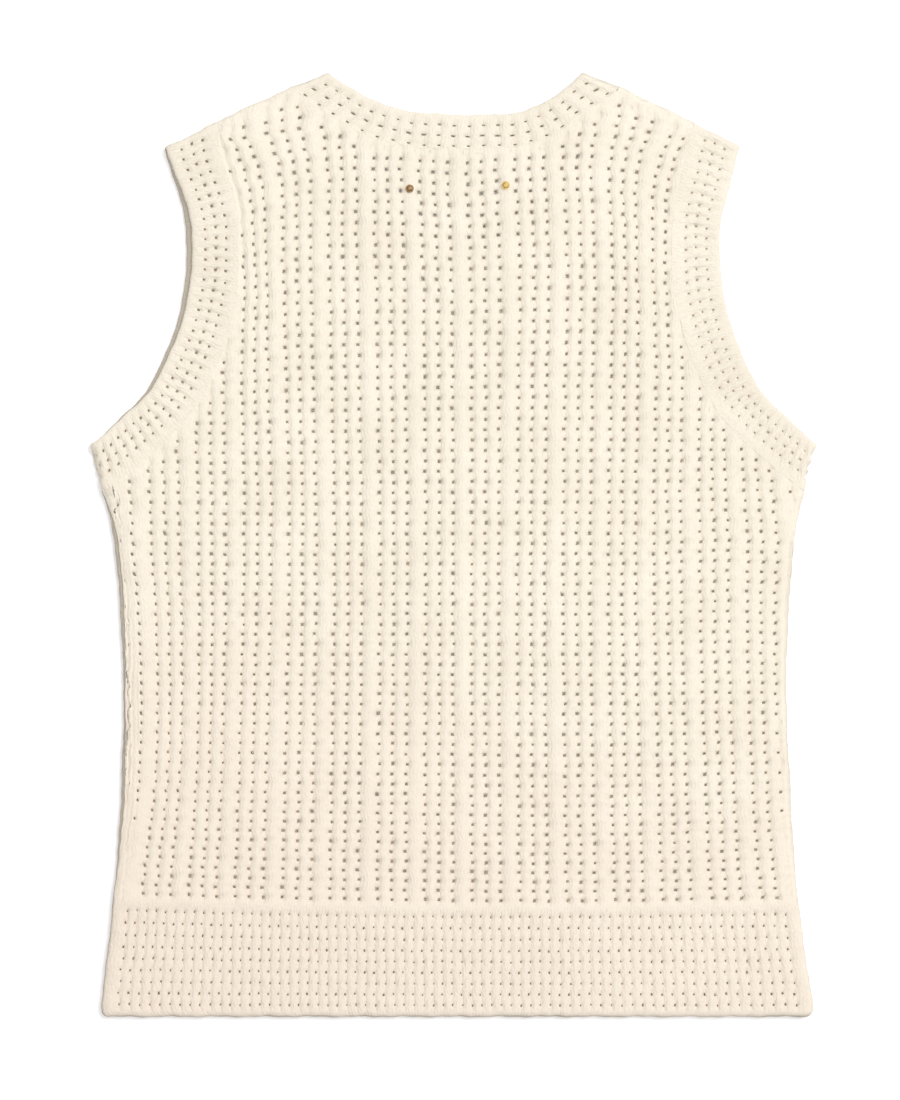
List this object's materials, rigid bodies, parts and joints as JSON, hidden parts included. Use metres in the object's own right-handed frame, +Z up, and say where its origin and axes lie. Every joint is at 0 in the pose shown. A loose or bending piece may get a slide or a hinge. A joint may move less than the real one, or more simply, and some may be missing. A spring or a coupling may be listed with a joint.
{
  "type": "sweater vest",
  "caption": "Sleeveless openwork knitted vest in ivory cotton, laid flat with its back up, with a deep hem band and bands round the neck and armholes.",
  "frame": {"origin": "on the table, under the middle of the vest's outline", "axes": "+Y from the hem to the neck, +X to the right of the back as it lies, +Z up from the table"},
  "size_m": [0.4475, 0.5816, 0.0077],
  "materials": {
    "knit": "matt ivory cotton yarn in an openwork rib",
    "band_knit": "matt ivory cotton yarn in a close stitch",
    "stud_bronze": "aged, satin",
    "stud_brass": "satin"
  },
  "bodies": {
    "root": {"back_panel": "knit", "front_panel": "knit", "hem_band_back": "band_knit", "hem_band_front": "band_knit", "neck_band": "band_knit", "armhole_band_left": "band_knit", "armhole_band_right": "band_knit", "stud_left": "stud_bronze", "stud_right": "stud_brass"}
  },
  "joints": []
}
